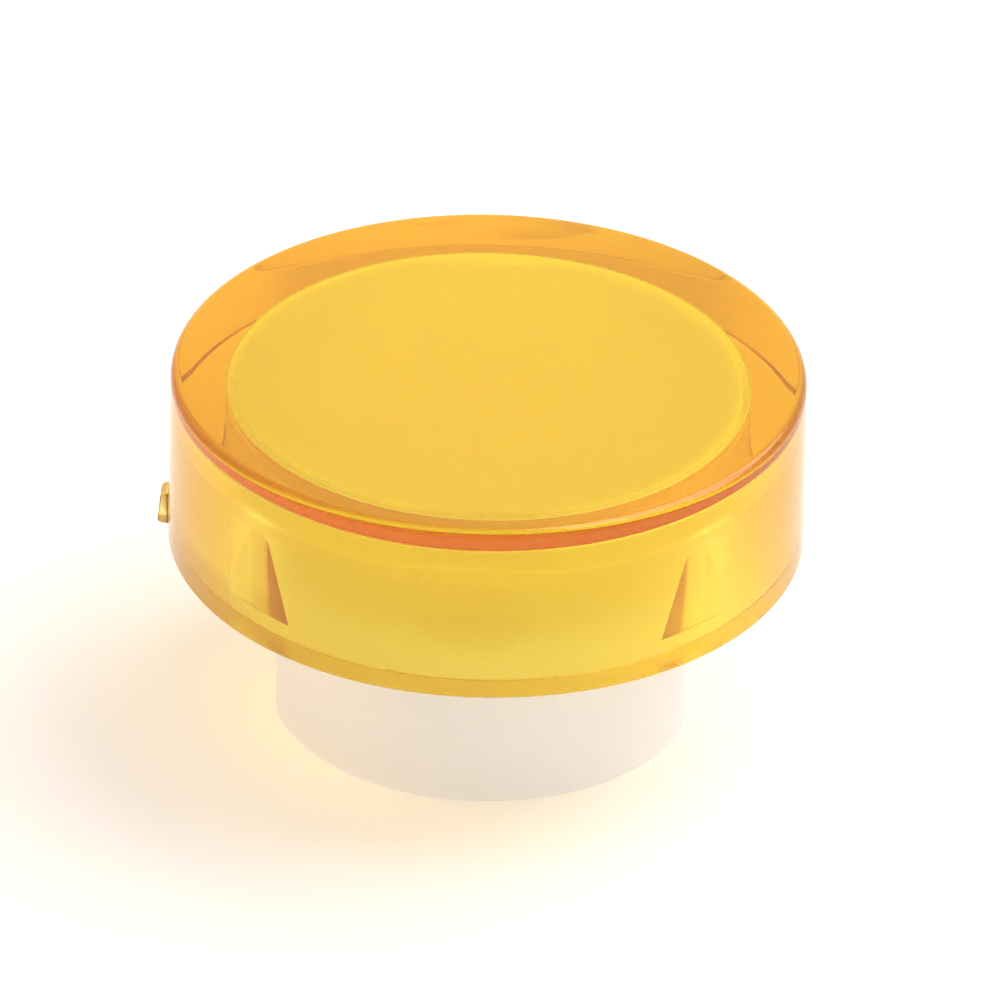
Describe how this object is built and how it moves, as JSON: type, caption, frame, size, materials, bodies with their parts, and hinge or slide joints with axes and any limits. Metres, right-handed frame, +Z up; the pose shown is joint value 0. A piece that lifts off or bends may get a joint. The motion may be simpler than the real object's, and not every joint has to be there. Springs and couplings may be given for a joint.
{
  "type": "illuminated pushbutton lens cap",
  "caption": "Round amber lens cap that clips over a white light diffuser, whose flat-sided tube plugs into an illuminated push-button.",
  "frame": {"origin": "centre of the diffuser tube's open end, on the round axis, in the plane that the part stands on", "axes": "+Z up along the round axis, from the tube's open end to the window; +X across the tube's two flats, with the cap's small outer key on the -X side; +Y across the two snap ridges, the ridge at -Y being the front one"},
  "size_m": [0.0246, 0.0242, 0.0142],
  "materials": {
    "amber_clear_plastic": "clear amber, polished",
    "white_diffusing_plastic": "milky white, satin"
  },
  "bodies": {
    "diffuser_body": {"diffuser": "white_diffusing_plastic"},
    "lens_body": {"lens_cap": "amber_clear_plastic"}
  },
  "joints": [
    {"name": "lens_pull_off", "type": "slide", "parent": "diffuser_body", "child": "lens_body", "axis": [0, 0, 1], "range_m": [0, 0.009]}
  ]
}
